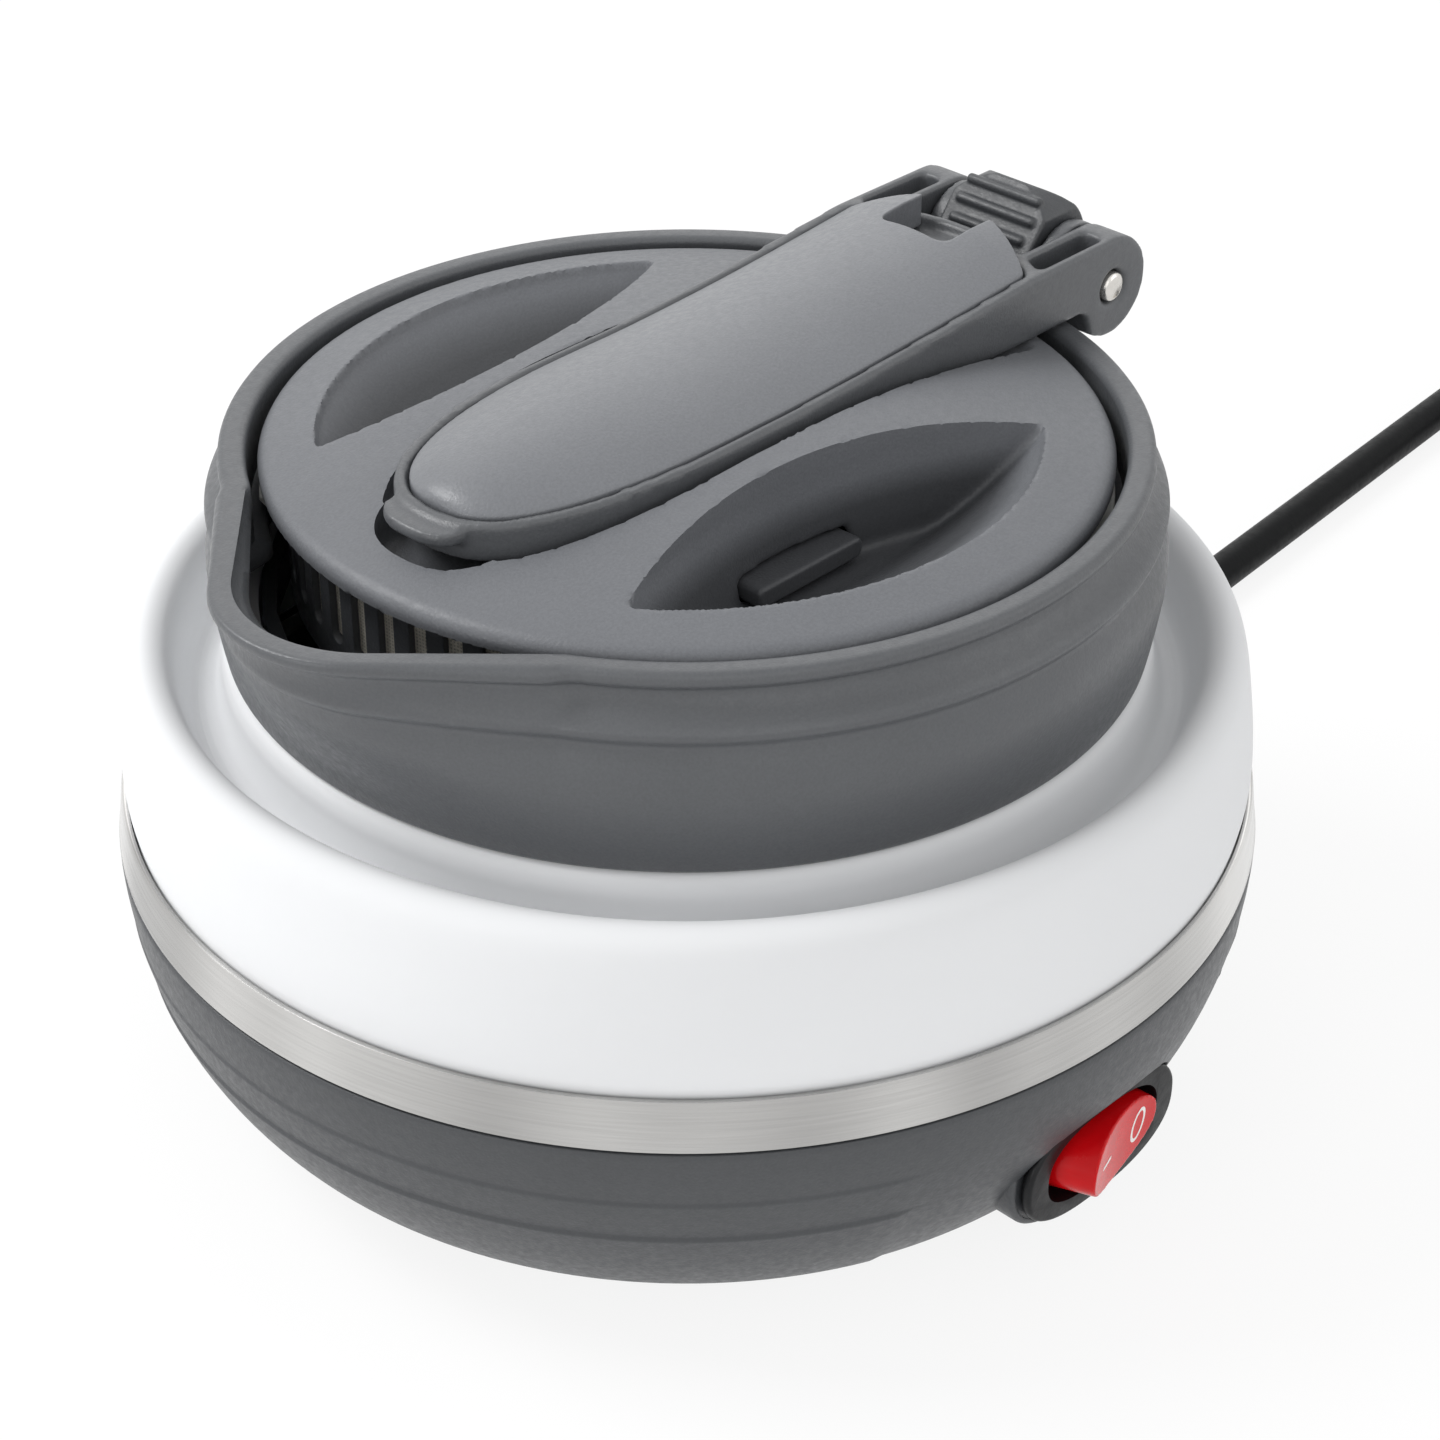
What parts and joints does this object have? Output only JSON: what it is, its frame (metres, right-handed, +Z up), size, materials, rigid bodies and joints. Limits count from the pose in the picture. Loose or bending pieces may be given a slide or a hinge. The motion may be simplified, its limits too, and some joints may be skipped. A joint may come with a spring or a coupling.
{
  "type": "collapsible kettle",
  "caption": "Collapsible travel kettle folded low: heated base, folded silicone wall, spouted collar, latched lid, fold-over handle, rocker switch and corded plug.",
  "frame": {"origin": "on the vessel's axis, in the plane that the feet stand on", "axes": "+Z up through the lid; +X towards the handle's hinge and the cord; -X towards the spout; -Y towards the switch"},
  "size_m": [0.4234, 0.1639, 0.113],
  "materials": {
    "grey_plastic": "fine matt moulded texture",
    "dark_grey_plastic": "fine matt moulded texture",
    "black_plastic": "satin",
    "white_silicone": "soft satin food-grade silicone",
    "clear_grey_silicone": "satin seal silicone",
    "steel": "brushed",
    "spring_steel": "drawn wire",
    "red_plastic": "polished",
    "black_rubber": "satin cord sheath and moulded rubber",
    "brass": "bright drawn"
  },
  "bodies": {
    "base": {"base_shell": "dark_grey_plastic", "bottom_cover": "dark_grey_plastic", "foot_1": "black_rubber", "foot_2": "black_rubber", "foot_3": "black_rubber", "foot_4": "black_rubber", "cover_screw_1": "steel", "cover_screw_2": "steel", "cover_screw_3": "steel", "steel_band": "steel", "heating_plate": "steel", "heating_element": "steel", "thermostat": "black_plastic", "base_seal": "clear_grey_silicone", "silicone_body": "white_silicone", "switch_housing": "black_plastic", "strain_relief": "black_rubber", "power_cord": "black_rubber", "cord_coil": "black_rubber", "cord_tail": "black_rubber", "plug_body": "black_rubber", "plug_pin_1": "brass", "plug_pin_2": "brass"},
    "collar": {"collar_shell": "dark_grey_plastic", "collar_clamp_ring": "dark_grey_plastic", "lid_top": "grey_plastic", "lid_skirt": "dark_grey_plastic", "lid_inner_cover": "dark_grey_plastic", "lid_seal": "clear_grey_silicone", "latch_spring_left": "spring_steel", "latch_spring_right": "spring_steel", "hinge_bracket": "dark_grey_plastic", "lock_spring": "spring_steel"},
    "handle": {"handle_frame": "dark_grey_plastic", "handle_cover": "grey_plastic", "hinge_pin": "steel"},
    "latch_button_left": {"latch_button_left": "grey_plastic"},
    "latch_button_right": {"latch_button_right": "grey_plastic"},
    "lock_lever": {"lock_lever": "dark_grey_plastic"},
    "switch_rocker": {"switch_rocker": "red_plastic"}
  },
  "joints": [
    {"name": "collar_lift", "type": "slide", "parent": "base", "child": "collar", "axis": [0, 0, 1], "range_m": [0, 0.068], "deforming": ["silicone_body"]},
    {"name": "handle_swing", "type": "hinge", "parent": "collar", "child": "handle", "pos_m": [0.0693, 0, 0.1014], "axis": [0, 1, 0], "range_deg": [0, 210]},
    {"name": "latch_left_press", "type": "slide", "parent": "collar", "child": "latch_button_left", "axis": [0, -1, 0], "range_m": [0, 0.0024], "stiffness_N_per_m": 300},
    {"name": "latch_right_press", "type": "slide", "parent": "collar", "child": "latch_button_right", "axis": [0, 1, 0], "range_m": [0, 0.0024], "stiffness_N_per_m": 300},
    {"name": "lock_lever_press", "type": "hinge", "parent": "collar", "child": "lock_lever", "pos_m": [0.0693, 0, 0.1014], "axis": [0, 1, 0], "range_deg": [0, 8], "stiffness_Nm_per_rad": 0.05},
    {"name": "switch_rock", "type": "hinge", "parent": "base", "child": "switch_rocker", "pos_m": [0, -0.0734, 0.0182], "axis": [0, 0, -1], "range_deg": [0, 24]}
  ]
}
